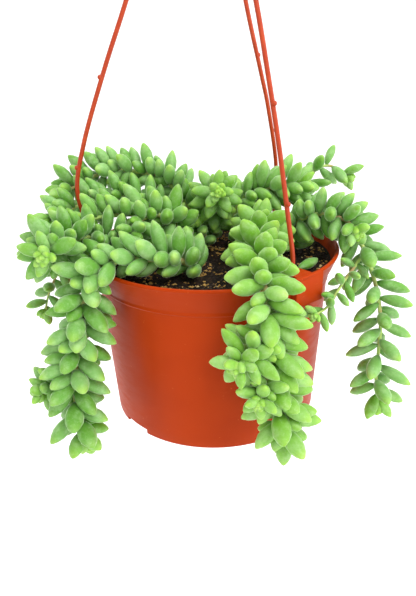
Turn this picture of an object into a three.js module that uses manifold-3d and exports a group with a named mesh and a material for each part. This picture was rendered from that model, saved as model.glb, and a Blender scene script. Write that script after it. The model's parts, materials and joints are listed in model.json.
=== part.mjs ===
// Burro's tail in a hanging nursery pot.
// Millimetres, +Z up. The origin is the centre of the pot's base, and -Y is the front.
import * as THREE from 'three';
import { mergeVertices } from 'three/addons/utils/BufferGeometryUtils.js';
import Module from 'manifold-3d';

const wasm = await Module();
wasm.setup();

// ---------------------------------------------------------------- driving sizes

const POT = {
  height: 105,
  baseRadius: 64.9,
  lineRadius: 70.6,      // where the straight taper ends and the flared band begins
  lineHeight: 88.4,
  lipRadius: 77,
  wall: 1.6,
  lineProud: 0.6,        // the raised line round the lower edge of the band
  floorThickness: 2,
  segments: 32,
};
const SKIN = 0.05;          // keeps two curved walls from lying exactly on each other
const DRAIN = { radius: 4, ring: 38, count: 5, sides: 6 };
// Slots cut up into the wall's foot, between an inner and an outer radius.
const NOTCH = { count: 4, firstDeg: -50, widthDeg: 18, height: 3.4, inner: 60, outer: 72 };

const EAR = {
  azimuthsDeg: [39.6, 139.6, -88],   // front right, back right, left
  tabInner: 62.5,        // the tab at rim level reaches in to this radius
  outer: 76.6,           // upright outer face of the ear
  left: -7,
  right: 14.2,
  tabRight: 6.5,
  tabThickness: 2.6,
  wallHeight: 17.5,
  ribDrop: 34,           // the rib under the ear meets the pot's side here
  ribRight: -2.4,
  socket: 66.6,          // radius at which a strand goes through the tab
};

const SOIL = { top: 98, sides: 24, gap: 0.35, holeGap: 1.9, holeSides: 6 };

const STRAND = { radius: 1.3, sides: 6, steps: 8, gap: 0.35, apexAboveRim: 245 };
// Radius and height above the rim along each strand, from its ear to the hub.
const STRAND_PROFILES = [
  [[66.6, 1.5], [66.2, 10], [62.3, 29], [54.3, 66], [45.7, 100], [36.8, 133], [20, 187], [6, 233]],
  [[66.6, 1.5], [68.6, 12], [68.3, 40], [58.4, 75.5], [49.8, 97.4], [33.9, 136.5], [19, 183], [6, 233]],
  [[66.6, 1.5], [72.5, 8], [79.3, 34], [73, 62], [58, 101], [43, 136], [23, 185], [6, 233]],
];
const NUB = { radius: 1.7, offset: 1.1, heights: [[35, 86], [61, 106], [50, 97]] };
const KNOB = { radius: 3, height: 2.4 };
const HUB = { radius: 7.6, top: 3.2, height: 17, sides: 8 };
const HOOK = { bend: 14, shank: 12, radius: 2, sides: 6, steps: 11 };

// ---------------------------------------------------------------- leafy stems

const GOLDEN_ANGLE = 137.5;
const LEAF_SIDES = 5;
const SMALL_LEAF = 19;               // shorter leaves than this have one side fewer
const BUD_LEAF = 12;                 // and shorter than this, one ring
const STEM_SIDES = 4;
const STEM_STEP = 14;
// How plump a leaf is along its length: [share of the length, share of the half width].
const LEAF_RINGS = [[0.36, 0.93], [0.78, 0.88]];
const BUD_RINGS = [[0.6, 1]];
const LEAF_FLATNESS = 0.8;           // thickness over width
const LEAF_BALLS = [[0.2, 0.62], [0.36, 0.9], [0.52, 1], [0.68, 0.97], [0.82, 0.8], [0.94, 0.45]];
const NODE_GAP = 0.35;               // between leaves of different nodes
const SELF_OVERLAP = 0.76;           // leaves of one node may crowd to this share of their size
const LEFT_OUT = 3;                  // every third leaf of a close-set shoot is left out of the solid
const CLOSE_SET = 3;                 // a step under this is close-set
const STRAND_CLEARANCE = 1.1;        // extra room round a strand, for its nubs
const STEM_CLEARANCE = 0.4;
const FLOOR_CLEARANCE = 1;           // leaves keep this far above what the pot stands on
const ROUTE_STEPS = 10;              // samples for each stretch of a route

// Each node is one plant stem with its side shoots. Every shoot has a route from root to tip,
// the length and width of its grown leaves, the step from leaf to leaf, the bare length at
// the root, the stem's radius, the lean of the leaves from the stem, and how long the young
// end is, where leaves shorten and close up.
const STEMS = [
  { name: 'stem_front_right', shoots: [
    { route: [[25, -88, 86], [17, -96, 80], [9, -105, 77]], leaf: [19, 8.4], step: 1.7, bare: 7,
      radius: 1.3, lean: 86, young: 6, turn: 40 },
    { route: [[27, -88, 65], [23, -96, 59], [20, -105, 56]], leaf: [16, 7.6], step: 1.7, bare: 7,
      radius: 1.3, lean: 86, young: 7, turn: 130 },
    { route: [[28, 8, 88], [28, 6, 100], [29, -4, 113], [28, -18, 118], [26, -38, 115], [25, -60, 111],
      [25, -79, 106], [26, -89, 94], [27, -89, 78], [29, -88, 60], [32, -88, 43], [35, -88, 28],
      [37, -87, 19]],
      leaf: [22, 10.2], step: 2.3, bare: 24, radius: 2, lean: 68, young: 15, turn: 20 },
  ] },
  { name: 'stem_front_left', shoots: [
    { route: [[-79, -60, 50], [-88, -63, 45], [-99, -67, 42]], leaf: [16.5, 7.8], step: 2.1, bare: 8,
      radius: 1.3, lean: 78, young: 7, turn: 0 },
    { route: [[-10, -34, 88], [-10, -35, 99], [-16, -41, 108], [-29, -47, 112], [-43, -50, 113],
      [-57, -52, 112], [-67, -55, 105], [-71, -59, 92], [-74, -62, 76], [-77, -65, 58], [-79, -68, 40],
      [-77, -70, 24], [-74, -71, 11]],
      leaf: [21, 10.2], step: 2.35, bare: 10, radius: 2, lean: 70, young: 15, turn: 0 },
  ] },
  { name: 'stem_right', shoots: [
    { route: [[46, 7, 88], [46, 7, 99], [49, 1, 114], [57, -5, 122], [67, -11, 125], [77, -17, 123],
      [83, -26, 118]],
      leaf: [18, 9], step: 2, bare: 13, radius: 1.8, lean: 72, young: 8, turn: 200 },
  ] },
  { name: 'stem_far_right', shoots: [
    { route: [[90, -17, 103], [82, -27, 97], [72, -41, 92], [63, -53, 85], [53, -63, 83]],
      leaf: [13.5, 5.4], step: 3.6, bare: 10, radius: 1.1, lean: 62, young: 8, turn: 0 },
    { route: [[56, 14, 88], [57, 13, 99], [62, 9, 111], [73, 2, 117], [84, -8, 114], [90, -17, 104],
      [94, -24, 92], [97, -31, 78], [98, -36, 63], [97, -40, 47], [96, -44, 31], [98, -47, 15]],
      leaf: [21, 9], step: 3.12, bare: 24, radius: 1.7, lean: 66, young: 16, turn: 70 },
  ] },
  { name: 'stem_left', shoots: [
    { route: [[-42, -14, 88], [-43, -14, 99], [-50, -15, 112], [-63, -19, 117], [-75, -32, 120],
      [-83, -46, 121], [-87, -62, 120]],
      leaf: [22, 8.8], step: 2, bare: 24, radius: 1.8, lean: 86, young: 6, turn: 15 },
  ] },
  { name: 'stem_middle', shoots: [
    { route: [[2, 36, 88], [2, 36, 99], [2, 32, 114], [2, 18, 128], [3, 4, 136], [4, -8, 139]],
      leaf: [18, 8], step: 1.9, bare: 14, radius: 1.7, lean: 82, young: 14, turn: 60 },
  ] },
  { name: 'stem_middle_short', shoots: [
    { route: [[-3, 16, 88], [-3, 16, 99], [-5, 14, 108], [-10, 9, 116]],
      leaf: [15, 8], step: 2, bare: 12, radius: 1.6, lean: 78, young: 6, turn: 30 },
  ] },
  { name: 'stem_left_inner', shoots: [
    { route: [[-34, -4, 125], [-41, -13, 125], [-46, -23, 121], [-48, -31, 116]],
      leaf: [16, 8.4], step: 2, bare: 6, radius: 1.4, lean: 68, young: 7, turn: 0 },
    { route: [[-16, 8, 88], [-17, 8, 99], [-20, 6, 114], [-31, -2, 124], [-48, -8, 127], [-64, -12, 127],
      [-74, -17, 126]],
      leaf: [21, 10.2], step: 2.2, bare: 14, radius: 1.9, lean: 68, young: 10, turn: 100 },
  ] },
  { name: 'stem_back_left_low', shoots: [
    { route: [[-26, 22, 88], [-26, 22, 99], [-29, 21, 114], [-42, 18, 128], [-58, 14, 132], [-74, 7, 131],
      [-89, -3, 128], [-98, -12, 124]],
      leaf: [18, 8.8], step: 2.3, bare: 20, radius: 1.8, lean: 68, young: 12, turn: 60 },
  ] },
  { name: 'stem_back_left', shoots: [
    { route: [[-10, 30, 88], [-10, 30, 99], [-14, 30, 120], [-28, 32, 137], [-46, 33, 144], [-64, 31, 145],
      [-80, 24, 141], [-94, 12, 134]],
      leaf: [19, 9.4], step: 2.4, bare: 24, radius: 1.8, lean: 68, young: 12, turn: 30 },
  ] },
  { name: 'stem_back_right', shoots: [
    { route: [[16, 26, 88], [15, 26, 99], [15, 26, 115], [21, 25, 127], [32, 23, 133], [45, 21, 135],
      [58, 19, 136]],
      leaf: [21.5, 9.2], step: 2.2, bare: 16, radius: 1.8, lean: 66, young: 8, turn: 10 },
  ] },
  { name: 'stem_right_spray', shoots: [
    { route: [[57, 34, 88], [57, 34, 99], [59, 35, 122], [67, 37, 140], [78, 38, 144], [91, 38, 136]],
      leaf: [17.5, 7.8], step: 4.2, bare: 26, radius: 1.3, lean: 64, young: 7, turn: 0 },
  ] },
  { name: 'stem_left_thin', shoots: [
    { route: [[-54, 16, 88], [-55, 16, 99], [-64, 16, 109], [-78, 15, 109], [-90, 6, 98], [-99, 0, 86],
      [-104, -6, 75], [-106, -11, 65]],
      leaf: [16, 7.6], step: 3.6, bare: 44, radius: 1.1, lean: 66, young: 10, turn: 0 },
  ] },
  { name: 'stem_behind_left', shoots: [
    { route: [[-26, 48, 88], [-26, 48, 99], [-29, 56, 110], [-33, 70, 114], [-37, 83, 108], [-39, 90, 92],
      [-40, 92, 75], [-40, 92, 64]],
      leaf: [19, 9.4], step: 2.95, bare: 18, radius: 1.8, lean: 68, young: 12, turn: 0 },
  ] },
  { name: 'stem_behind_right', shoots: [
    { route: [[18, 48, 88], [18, 48, 99], [19, 56, 111], [21, 70, 114], [24, 85, 108], [25, 92, 92],
      [25, 93, 80]],
      leaf: [19, 9.4], step: 2.95, bare: 18, radius: 1.8, lean: 68, young: 12, turn: 90 },
  ] },
];

// One leaf that has dropped on the soil beside the front ear.
const LOOSE_LEAF = { root: [48, -36, 100.6], tip: [61, -24, 101.7], width: 7.4 };

const COLOURS = {
  pot: 0xb2441f,
  hanger: 0xd8502a,
  soil: 0x2a211b,
  leaves: [0x7fae4d, 0x86b455, 0x79a84c, 0x8cb85f, 0x83b052],
};

// ---------------------------------------------------------------- solids

// A closed three.js geometry as a solid that can be joined and cut.
function toSolid(geometry) {
  const bare = geometry.clone();
  bare.deleteAttribute('normal');
  bare.deleteAttribute('uv');
  const merged = mergeVertices(bare, 1e-4);
  const corners = merged.index.array;
  const kept = [];
  for (let i = 0; i < corners.length; i += 3) {
    const [a, b, c] = [corners[i], corners[i + 1], corners[i + 2]];
    if (a !== b && b !== c && c !== a) kept.push(a, b, c);
  }
  return new wasm.Manifold(new wasm.Mesh({
    numProp: 3,
    vertProperties: Float32Array.from(merged.attributes.position.array),
    triVerts: Uint32Array.from(kept),
  }));
}

// The solid's largest body alone, without sealed hollows or loose scraps.
function oneBody(solid) {
  const bodies = solid.decompose();
  bodies.sort((a, b) => b.volume() - a.volume());
  return bodies[0];
}

function toMesh(name, solid, colour, roughness) {
  const { vertProperties, triVerts } = solid.getMesh();
  const geometry = new THREE.BufferGeometry();
  geometry.setAttribute('position', new THREE.BufferAttribute(Float32Array.from(vertProperties), 3));
  geometry.setIndex(Array.from(triVerts));
  const material = new THREE.MeshStandardMaterial({ color: colour, roughness, metalness: 0 });
  const mesh = new THREE.Mesh(geometry, material);
  mesh.name = name;
  return mesh;
}

function joinAll(solids) {
  return solids.reduce((whole, next) => whole.add(next));
}

function turned(profile, segments) {
  const geometry = new THREE.LatheGeometry(profile.map(([r, z]) => new THREE.Vector2(r, z)), segments);
  return toSolid(geometry.rotateX(Math.PI / 2));
}

function disc(radius, sides) {
  const shape = new THREE.Shape();
  for (let i = 0; i < sides; i++) {
    const angle = (2 * Math.PI * i) / sides;
    shape[i ? 'lineTo' : 'moveTo'](radius * Math.cos(angle), radius * Math.sin(angle));
  }
  shape.closePath();
  return shape;
}

// A smooth curve through points that are given as [x, y, z].
function curveThrough(points) {
  return new THREE.CatmullRomCurve3(points.map((p) => new THREE.Vector3(...p)), false, 'catmullrom', 0.5);
}

function tube(points, radius, sides, steps) {
  const extrudePath = curveThrough(points);
  const options = { steps, extrudePath, bevelEnabled: false };
  return toSolid(new THREE.ExtrudeGeometry(disc(radius, sides), options));
}

// An upright prism over an outline in plan, from one height to another.
function prism(outline, low, high) {
  const shape = new THREE.Shape(outline.map(([x, y]) => new THREE.Vector2(x, y)));
  const geometry = new THREE.ExtrudeGeometry(shape, { depth: high - low, bevelEnabled: false });
  return toSolid(geometry.translate(0, 0, low));
}

// Out and across, seen from the pot's axis at an azimuth that is counted from the front (-Y).
function fromAxis(azimuthDeg, out, across) {
  const angle = THREE.MathUtils.degToRad(azimuthDeg);
  return [
    out * Math.sin(angle) + across * Math.cos(angle),
    -out * Math.cos(angle) + across * Math.sin(angle),
  ];
}

// ---------------------------------------------------------------- pot, soil and hanger

const rim = POT.height;
const flare = (POT.lipRadius - POT.lineRadius) / (rim - POT.lineHeight);
const taper = (POT.lineRadius - POT.baseRadius) / POT.lineHeight;

function outerRadius(z) {
  if (z > POT.lineHeight) return POT.lineRadius + flare * (z - POT.lineHeight);
  return POT.baseRadius + taper * z;
}

function innerRadius(z) {
  return outerRadius(z) - POT.wall;
}

function earBlock(azimuth, corners, low, high) {
  return prism(corners.map(([out, across]) => fromAxis(azimuth, out, across)), low, high);
}

function makeEar(azimuth) {
  const { left, right, outer, ribRight } = EAR;
  const root = POT.lineRadius - 2;
  const corners = [[root, left], [outer, left], [outer, ribRight], [outer - 2.2, right], [root, right]];
  return earBlock(azimuth, corners, rim - EAR.wallHeight, rim).add(makeRib(azimuth));
}

// The flat tab at rim level that a strand of the hanger goes through.
function makeTab(azimuth) {
  const { left, tabRight, tabInner } = EAR;
  const outer = EAR.outer - 1;
  const corners = [[tabInner, left + 2], [outer, left + 1], [outer, tabRight], [tabInner + 3, tabRight]];
  return earBlock(azimuth, corners, rim - EAR.tabThickness, rim);
}

// The rib that runs down from under the ear into the pot's tapering side.
function makeRib(azimuth) {
  const top = rim - EAR.wallHeight;
  const foot = rim - EAR.ribDrop;
  const shape = new THREE.Shape([
    new THREE.Vector2(outerRadius(foot) - 1, foot),
    new THREE.Vector2(outerRadius(foot), foot),
    new THREE.Vector2(EAR.outer, top),
    new THREE.Vector2(EAR.outer, top + 1),
    new THREE.Vector2(outerRadius(foot) - 1, top + 1),
  ]);
  const across = EAR.ribRight - EAR.left;
  const geometry = new THREE.ExtrudeGeometry(shape, { depth: across, bevelEnabled: false });
  // The outline is drawn out along X and up along Y; stand it up and turn it to its azimuth.
  geometry.rotateX(Math.PI / 2);
  geometry.translate(0, EAR.ribRight, 0);
  geometry.rotateZ(THREE.MathUtils.degToRad(azimuth - 90));
  return toSolid(geometry);
}

function makePot() {
  const { lineRadius: line, lineHeight: up, lineProud: proud } = POT;
  const shell = turned([
    [0, 0],
    [POT.baseRadius, 0],
    [line - taper * 1.2, up - 1.2],
    [line + proud, up - 0.5],
    [line + proud, up + 0.5],
    [outerRadius(up + 1.2), up + 1.2],
    [POT.lipRadius, rim - 1.2],
    [POT.lipRadius - 0.1, rim],
    [POT.lipRadius - POT.wall - 0.3, rim],
    [line - POT.wall, up],
    [innerRadius(0), POT.floorThickness],
    [0, POT.floorThickness],
  ], POT.segments);
  // The ears' blocks are cut back to the inside of the wall; the tabs stay above the cut.
  const bore = turned([
    [0, 20],
    [innerRadius(20) - SKIN, 20],
    [line - POT.wall - SKIN, up],
    [POT.lipRadius - POT.wall - 0.3 - SKIN, rim],
    [0, rim],
  ], POT.segments);
  const blocks = joinAll(EAR.azimuthsDeg.map(makeEar)).subtract(bore);
  let pot = joinAll([shell, blocks, ...EAR.azimuthsDeg.map(makeTab)]);
  for (let i = 0; i < DRAIN.count; i++) {
    const [x, y] = fromAxis((360 * i) / DRAIN.count, DRAIN.ring, 0);
    const hole = new THREE.ExtrudeGeometry(disc(DRAIN.radius, DRAIN.sides),
      { depth: 3 * POT.floorThickness, bevelEnabled: false });
    pot = pot.subtract(toSolid(hole.translate(x, y, -POT.floorThickness)));
  }
  const half = POT.baseRadius * Math.sin(THREE.MathUtils.degToRad(NOTCH.widthDeg / 2));
  for (let i = 0; i < NOTCH.count; i++) {
    const middle = NOTCH.firstDeg + (360 * i) / NOTCH.count;
    const { inner, outer } = NOTCH;
    pot = pot.subtract(earBlock(middle, [[inner, -half], [outer, -half], [outer, half], [inner, half]],
      -1, NOTCH.height));
  }
  for (const azimuth of EAR.azimuthsDeg) {
    const [x, y] = fromAxis(azimuth, EAR.socket, 0);
    const hole = new THREE.ExtrudeGeometry(disc(STRAND.radius + STRAND.gap, STRAND.sides + 1),
      { depth: 6, bevelEnabled: false });
    pot = pot.subtract(toSolid(hole.translate(x, y, rim - 4)));
  }
  return oneBody(pot);
}

function makeSoil() {
  const low = POT.floorThickness + SOIL.gap;
  const shrink = SOIL.gap + 0.2;
  let soil = turned([
    [0, low],
    [innerRadius(low) - shrink, low],
    [POT.lineRadius - POT.wall - shrink, POT.lineHeight],
    [innerRadius(SOIL.top) - shrink, SOIL.top],
    [0, SOIL.top],
  ], SOIL.sides);
  for (const stem of STEMS) {
    const { route, radius } = stem.shoots.at(-1);
    const [[x, y, z], [nextX, nextY]] = route;
    const hole = new THREE.ExtrudeGeometry(disc(radius + SOIL.holeGap, SOIL.holeSides),
      { depth: 2 * (SOIL.top - z), bevelEnabled: false });
    soil = soil.subtract(toSolid(hole.translate((x + nextX) / 2, (y + nextY) / 2, z - SOIL.gap)));
  }
  return oneBody(soil);
}

function strandPoints(index) {
  const azimuth = EAR.azimuthsDeg[index];
  return STRAND_PROFILES[index].map(([out, up]) => [...fromAxis(azimuth, out, 0), rim + up]);
}

function makeHanger() {
  const parts = [];
  EAR.azimuthsDeg.forEach((azimuth, index) => {
    const points = strandPoints(index);
    const [x, y] = points[0];
    const knobTop = rim - EAR.tabThickness - STRAND.gap;
    const plug = new THREE.CylinderGeometry(STRAND.radius, STRAND.radius, rim + 3 - knobTop, STRAND.sides);
    parts.push(tube(points, STRAND.radius, STRAND.sides, STRAND.steps));
    parts.push(toSolid(plug.rotateX(Math.PI / 2).translate(x, y, (rim + 3 + knobTop) / 2 - 0.5)));
    const knob = new THREE.CylinderGeometry(KNOB.radius, KNOB.radius * 0.7, KNOB.height, 8);
    parts.push(toSolid(knob.rotateX(Math.PI / 2).translate(x, y, knobTop - KNOB.height / 2)));
    const path = curveThrough(points);
    for (const height of NUB.heights[index]) {
      const spot = path.getPoint(findHeight(path, rim + height));
      const [ox, oy] = fromAxis(azimuth, NUB.offset, 0);
      const nub = new THREE.OctahedronGeometry(NUB.radius);
      parts.push(toSolid(nub.translate(spot.x + ox, spot.y + oy, spot.z)));
    }
  });
  parts.push(...makeHubAndHook());
  return oneBody(joinAll(parts));
}

// The curve parameter at which a rising path reaches a height.
function findHeight(path, height) {
  let [low, high] = [0, 1];
  for (let i = 0; i < 30; i++) {
    const middle = (low + high) / 2;
    if (path.getPoint(middle).z < height) low = middle;
    else high = middle;
  }
  return low;
}

function makeHubAndHook() {
  const apex = rim + STRAND.apexAboveRim;
  const hub = turned([
    [0, apex - HUB.height],
    [HUB.radius, apex - HUB.height],
    [HUB.radius, apex - HUB.height + 3],
    [HUB.top, apex],
    [0, apex],
  ], HUB.sides);
  const bendCentre = apex + HOOK.shank + HOOK.bend;
  const points = [[0, 0, apex - 3], [0, 0, apex + HOOK.shank * 0.5]];
  for (let deg = -90; deg <= 150; deg += 30) {
    const angle = THREE.MathUtils.degToRad(deg);
    points.push([HOOK.bend * Math.cos(angle), 0, bendCentre + HOOK.bend * Math.sin(angle)]);
  }
  return [hub, tube(points, HOOK.radius, HOOK.sides, HOOK.steps)];
}

// ---------------------------------------------------------------- where leaves may grow

// Draws that come out the same on every run.
function makeRandom(seed) {
  let state = seed;
  return () => {
    state = (state * 16807) % 2147483647;
    return state / 2147483647;
  };
}

// A route as close-set points with their distance from the root and a frame at each.
function walkRoute(route) {
  const points = curveThrough(route).getPoints((route.length - 1) * ROUTE_STEPS);
  const along = [0];
  for (let i = 1; i < points.length; i++) {
    along.push(along[i - 1] + points[i].distanceTo(points[i - 1]));
  }
  const ahead = points.map((_, i) => {
    const next = points[Math.min(i + 1, points.length - 1)];
    const last = points[Math.max(i - 1, 0)];
    return next.clone().sub(last).normalize();
  });
  const side = [];
  let carried = new THREE.Vector3(1, 0, 0);
  for (const direction of ahead) {
    carried = carried.clone().addScaledVector(direction, -carried.dot(direction)).normalize();
    side.push(carried);
  }
  return { points, along, ahead, side, length: along.at(-1) };
}

function spotOn(walk, distance) {
  let i = 1;
  while (i < walk.along.length - 1 && walk.along[i] < distance) i++;
  const share = (distance - walk.along[i - 1]) / (walk.along[i] - walk.along[i - 1]);
  return {
    point: walk.points[i - 1].clone().lerp(walk.points[i], share),
    ahead: walk.ahead[i],
    side: walk.side[i],
  };
}

function distanceToSegment(x, y, [ax, ay], [bx, by]) {
  const [dx, dy] = [bx - ax, by - ay];
  const share = Math.min(1, Math.max(0, ((x - ax) * dx + (y - ay) * dy) / (dx * dx + dy * dy)));
  return Math.hypot(x - ax - share * dx, y - ay - share * dy);
}

// Room between a point and the pot, its soil and its ears.
const POT_EDGES = [
  [[0, SOIL.top], [innerRadius(SOIL.top), SOIL.top], 0],
  [[POT.lipRadius - 2.4, SOIL.top], [POT.lipRadius - 0.9, rim - 0.9], 0.9],
  [[POT.lipRadius - 0.9, rim - 0.9], [POT.lineRadius - 0.3, POT.lineHeight], 0.9],
  [[POT.lineRadius - 0.3, POT.lineHeight], [POT.baseRadius - 0.9, 0], 0.9],
];

function roomToPot({ x, y, z }) {
  const out = Math.hypot(x, y);
  if (z < SOIL.top && out < outerRadius(z)) return -1;
  let room = Math.min(...POT_EDGES.map(([a, b, half]) => distanceToSegment(out, z, a, b) - half));
  for (const azimuth of EAR.azimuthsDeg) {
    const angle = THREE.MathUtils.degToRad(azimuth);
    const u = x * Math.sin(angle) - y * Math.cos(angle);
    const v = x * Math.cos(angle) + y * Math.sin(angle);
    const gapU = Math.max(EAR.tabInner - u, 0, u - EAR.outer);
    const gapV = Math.max(EAR.left - v, 0, v - EAR.right);
    const gapZ = Math.max(rim - EAR.wallHeight - z, 0, z - rim);
    room = Math.min(room, Math.hypot(gapU, gapV, gapZ));
  }
  return room;
}

// Everything that a new leaf has to keep clear of, as balls owned by a node.
const balls = [];

function addBall(point, radius, owner) {
  balls.push({ point, radius, owner });
}

function addHangerBalls() {
  EAR.azimuthsDeg.forEach((_, index) => {
    for (const point of curveThrough(strandPoints(index)).getPoints(100)) {
      addBall(point, STRAND.radius + STRAND_CLEARANCE, 'hanger');
    }
  });
}

function leafBalls(leaf) {
  return LEAF_BALLS.map(([share, plump]) => ({
    point: leaf.root.clone().addScaledVector(leaf.direction, share * leaf.length),
    radius: (plump * leaf.width) / 2,
  }));
}

function leafFits(leaf, owner) {
  for (const { point, radius } of leafBalls(leaf)) {
    if (roomToPot(point) < radius + NODE_GAP || point.z - radius < FLOOR_CLEARANCE) return false;
    for (const other of balls) {
      const own = other.owner === owner;
      if (own && other.stem) continue;
      const reach = own ? (radius + other.radius) * SELF_OVERLAP : radius + other.radius + NODE_GAP;
      if (point.distanceToSquared(other.point) < reach * reach) return false;
    }
  }
  return true;
}

// How a leaf may shift to find room: turn about the stem, lean, and size.
const SHIFTS = [
  [0, 0, 1], [14, 0, 1], [-14, 0, 1], [0, -14, 1], [0, 12, 1], [16, -16, 0.94], [-16, -16, 0.94],
  [30, 0, 0.9], [-30, 0, 0.9], [0, -28, 0.86], [26, -26, 0.8], [-26, -26, 0.8], [0, 20, 0.74],
  [0, -34, 0.66],
];

function growShoot(shoot, owner, random) {
  const walk = walkRoute(shoot.route);
  const leaves = [];
  let distance = shoot.bare;
  for (let count = 0; distance < walk.length - 0.8; count++) {
    const youth = Math.max(0, 1 - (walk.length - distance) / shoot.young);
    const size = (1 - 0.5 * youth) * (0.9 + 0.2 * random());
    const turn = shoot.turn + count * GOLDEN_ANGLE + 16 * (random() - 0.5);
    const lean = shoot.lean * (1 - 0.72 * youth * youth) + 14 * (random() - 0.5);
    const spot = spotOn(walk, distance);
    const leaf = SHIFTS
      .map(([turnBy, leanBy, shrink]) => {
        return makeLeaf(spot, turn + turnBy, lean + leanBy, shoot.leaf, size * shrink);
      })
      .find((candidate) => leafFits(candidate, owner));
    if (leaf) {
      for (const { point, radius } of leafBalls(leaf)) addBall(point, radius, owner);
      if (shoot.step > CLOSE_SET || count % LEFT_OUT !== LEFT_OUT - 1) leaves.push(leaf);
    }
    distance += shoot.step * (1 - 0.55 * youth);
  }
  return leaves;
}

function makeLeaf(spot, turnDeg, leanDeg, [length, width], size) {
  const turn = THREE.MathUtils.degToRad(turnDeg);
  const lean = THREE.MathUtils.degToRad(leanDeg);
  const other = spot.ahead.clone().cross(spot.side);
  const outward = spot.side.clone().multiplyScalar(Math.cos(turn)).addScaledVector(other, Math.sin(turn));
  const direction = spot.ahead.clone().multiplyScalar(Math.cos(lean));
  direction.addScaledVector(outward, Math.sin(lean));
  return {
    root: spot.point,
    direction,
    across: spot.ahead.clone().cross(outward),
    length: length * size,
    width: width * Math.sqrt(size),
  };
}

function leafSolid(leaf) {
  const rings = leaf.length < BUD_LEAF ? BUD_RINGS : LEAF_RINGS;
  const profile = [
    new THREE.Vector2(0, 0),
    ...rings.map(([share, plump]) => new THREE.Vector2((plump * leaf.width) / 2, share * leaf.length)),
    new THREE.Vector2(0, leaf.length),
  ];
  const sides = leaf.length < SMALL_LEAF ? LEAF_SIDES - 1 : LEAF_SIDES;
  const geometry = new THREE.LatheGeometry(profile, sides);
  geometry.scale(1, 1, LEAF_FLATNESS);
  const up = leaf.across.clone().cross(leaf.direction);
  const matrix = new THREE.Matrix4().makeBasis(leaf.across, leaf.direction, up).setPosition(leaf.root);
  return toSolid(geometry.applyMatrix4(matrix));
}

// ---------------------------------------------------------------- the assembly

function addStemBalls() {
  for (const stem of STEMS) {
    for (const shoot of stem.shoots) {
      for (const point of walkRoute(shoot.route).points) {
        addBall(point, shoot.radius + STEM_CLEARANCE, stem.name);
        balls.at(-1).stem = true;
      }
    }
  }
}

function stemTube(shoot) {
  const steps = Math.max(2, Math.round(walkRoute(shoot.route).length / STEM_STEP));
  return tube(shoot.route, shoot.radius, STEM_SIDES, steps);
}

function makeLeafyStem(stem, index) {
  const random = makeRandom(1000 + 37 * index);
  const solids = [];
  for (const shoot of stem.shoots) {
    const leaves = growShoot(shoot, stem.name, random);
    solids.push(stemTube(shoot), ...leaves.map(leafSolid));
  }
  return oneBody(joinAll(solids));
}

function makeLooseLeaf() {
  const root = new THREE.Vector3(...LOOSE_LEAF.root);
  const reach = new THREE.Vector3(...LOOSE_LEAF.tip).sub(root);
  const direction = reach.clone().normalize();
  const across = new THREE.Vector3(0, 0, 1).cross(direction).normalize();
  const leaf = { root, direction, across, length: reach.length(), width: LOOSE_LEAF.width };
  for (const { point, radius } of leafBalls(leaf)) addBall(point, radius, 'loose_leaf');
  return leafSolid(leaf);
}

const plant = new THREE.Group();
plant.add(toMesh('pot', makePot(), COLOURS.pot, 0.42));
plant.add(toMesh('soil', makeSoil(), COLOURS.soil, 0.95));
plant.add(toMesh('hanger', makeHanger(), COLOURS.hanger, 0.4));
addHangerBalls();
addStemBalls();
plant.add(toMesh('loose_leaf', makeLooseLeaf(), COLOURS.leaves[3], 0.55));
STEMS.forEach((stem, index) => {
  const colour = COLOURS.leaves[index % COLOURS.leaves.length];
  plant.add(toMesh(stem.name, makeLeafyStem(stem, index), colour, 0.55));
});

export default plant;
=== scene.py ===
import json
import math

import bmesh
import bpy
import numpy as np
from mathutils import Matrix, Vector, noise

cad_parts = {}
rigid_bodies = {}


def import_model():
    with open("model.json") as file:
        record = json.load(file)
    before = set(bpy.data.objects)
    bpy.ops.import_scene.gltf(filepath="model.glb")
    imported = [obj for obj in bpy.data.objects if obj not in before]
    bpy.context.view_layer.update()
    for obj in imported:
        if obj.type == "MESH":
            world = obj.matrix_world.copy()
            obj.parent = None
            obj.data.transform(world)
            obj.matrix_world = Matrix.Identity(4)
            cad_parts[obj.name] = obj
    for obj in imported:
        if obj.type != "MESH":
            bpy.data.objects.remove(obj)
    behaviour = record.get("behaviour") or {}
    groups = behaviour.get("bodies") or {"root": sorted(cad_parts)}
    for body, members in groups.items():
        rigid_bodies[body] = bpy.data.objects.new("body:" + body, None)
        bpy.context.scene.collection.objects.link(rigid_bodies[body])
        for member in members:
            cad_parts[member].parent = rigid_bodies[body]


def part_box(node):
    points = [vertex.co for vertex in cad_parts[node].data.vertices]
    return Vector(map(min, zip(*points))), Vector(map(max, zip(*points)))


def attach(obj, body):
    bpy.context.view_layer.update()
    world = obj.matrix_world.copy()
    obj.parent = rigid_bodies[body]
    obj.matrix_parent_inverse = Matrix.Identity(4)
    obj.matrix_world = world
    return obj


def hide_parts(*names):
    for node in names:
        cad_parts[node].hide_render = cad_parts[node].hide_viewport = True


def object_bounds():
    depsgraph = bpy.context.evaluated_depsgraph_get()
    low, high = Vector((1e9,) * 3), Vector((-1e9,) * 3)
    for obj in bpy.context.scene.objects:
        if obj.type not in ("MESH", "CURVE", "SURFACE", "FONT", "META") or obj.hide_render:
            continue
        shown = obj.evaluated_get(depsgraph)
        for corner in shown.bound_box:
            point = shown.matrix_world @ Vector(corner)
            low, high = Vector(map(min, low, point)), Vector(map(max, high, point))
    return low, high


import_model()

size_at_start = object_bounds()
MM = 0.001
TAU = 2 * math.pi

# ---------------------------------------------------------------- driving sizes

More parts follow.
